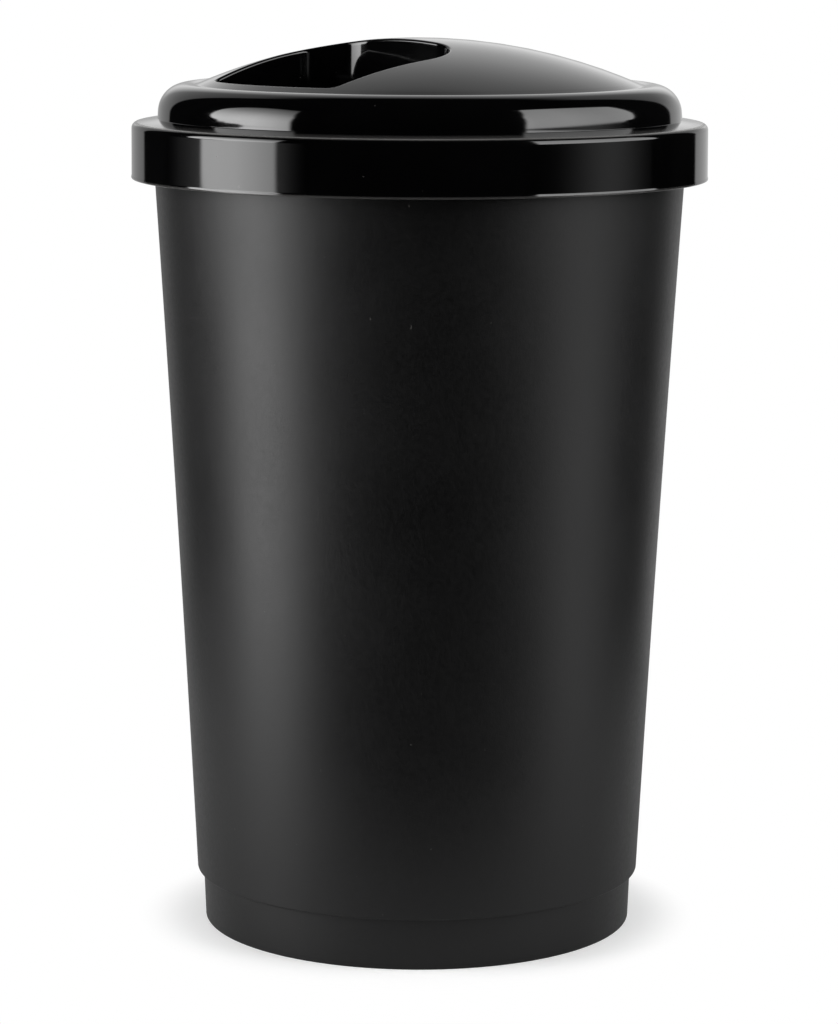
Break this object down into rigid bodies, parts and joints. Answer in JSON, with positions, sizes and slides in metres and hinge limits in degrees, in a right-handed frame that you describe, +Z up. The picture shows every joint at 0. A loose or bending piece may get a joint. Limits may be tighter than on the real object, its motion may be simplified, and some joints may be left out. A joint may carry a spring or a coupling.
{
  "type": "trash can with lid",
  "caption": "Round tapered waste bin on a stepped plinth, with a lift-off domed lid that has a fixed throw-in opening and an inner collar.",
  "frame": {"origin": "centre of the base, on the surface that the bin stands on", "axes": "+Z up along the bin's axis, the lid's throw-in opening towards -Y, +X to the right seen from that side"},
  "size_m": [0.4014, 0.4014, 0.6238],
  "materials": {
    "body_matte": "black, finely textured, satin to matte",
    "lid_gloss": "black, high gloss"
  },
  "bodies": {
    "bin": {"bin_body": "body_matte"},
    "lid": {"lid": "lid_gloss"}
  },
  "joints": [
    {"name": "lid_lift", "type": "slide", "parent": "bin", "child": "lid", "axis": [0, 0, 1], "range_m": [0, 0.15]}
  ]
}
